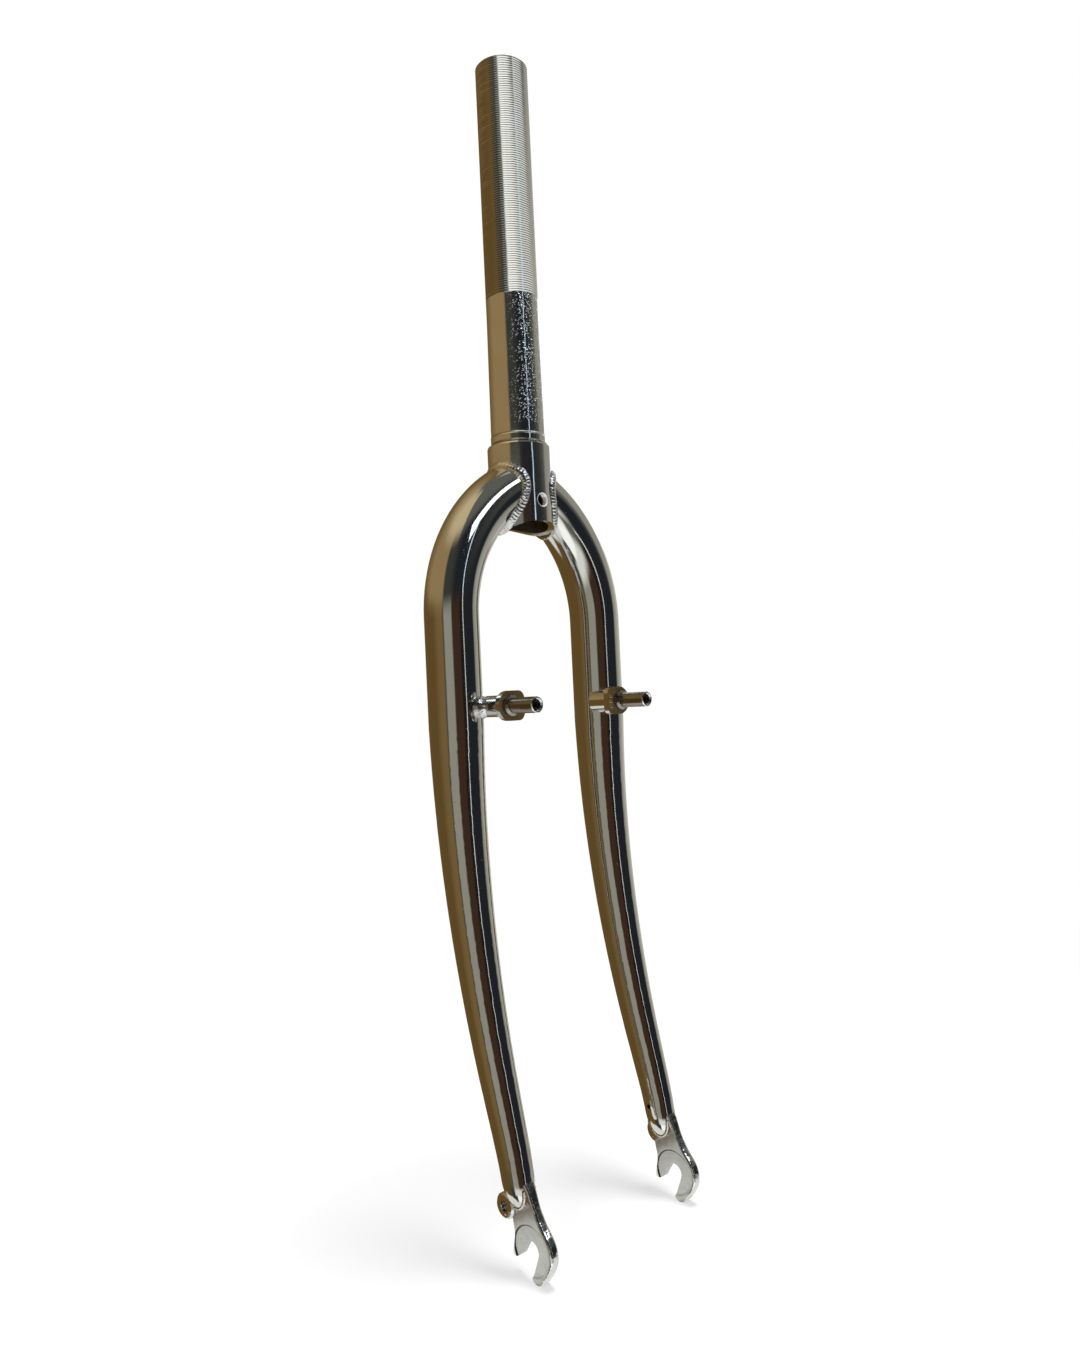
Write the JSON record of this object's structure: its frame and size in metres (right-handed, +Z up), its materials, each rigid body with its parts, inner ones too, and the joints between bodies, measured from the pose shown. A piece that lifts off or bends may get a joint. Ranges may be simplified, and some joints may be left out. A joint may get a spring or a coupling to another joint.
{
  "type": "rigid bicycle fork",
  "caption": "Chromed steel rigid bicycle fork with a straight steerer, curved tapered blades, brake posts and open hook dropouts with eyelets.",
  "frame": {"origin": "on the steerer axis, at the height of the shoulder where the crown race sits", "axes": "+Z up the steerer axis, -Y forward, +X to the rider's left"},
  "size_m": [0.1324, 0.0731, 0.6183],
  "materials": {
    "steerer_chrome": "polished, turned",
    "blade_chrome": "polished",
    "dropout_chrome": "satin",
    "boss_chrome": "polished",
    "weld_chrome": "rippled"
  },
  "bodies": {
    "root": {"steerer_tube": "steerer_chrome", "left_blade": "blade_chrome", "left_dropout": "dropout_chrome", "left_brake_boss": "boss_chrome", "left_crown_weld": "weld_chrome", "left_boss_weld": "weld_chrome", "left_outer_braze": "weld_chrome", "left_inner_braze": "weld_chrome", "right_blade": "blade_chrome", "right_dropout": "dropout_chrome", "right_brake_boss": "boss_chrome", "right_crown_weld": "weld_chrome", "right_boss_weld": "weld_chrome", "right_outer_braze": "weld_chrome", "right_inner_braze": "weld_chrome"}
  },
  "joints": []
}
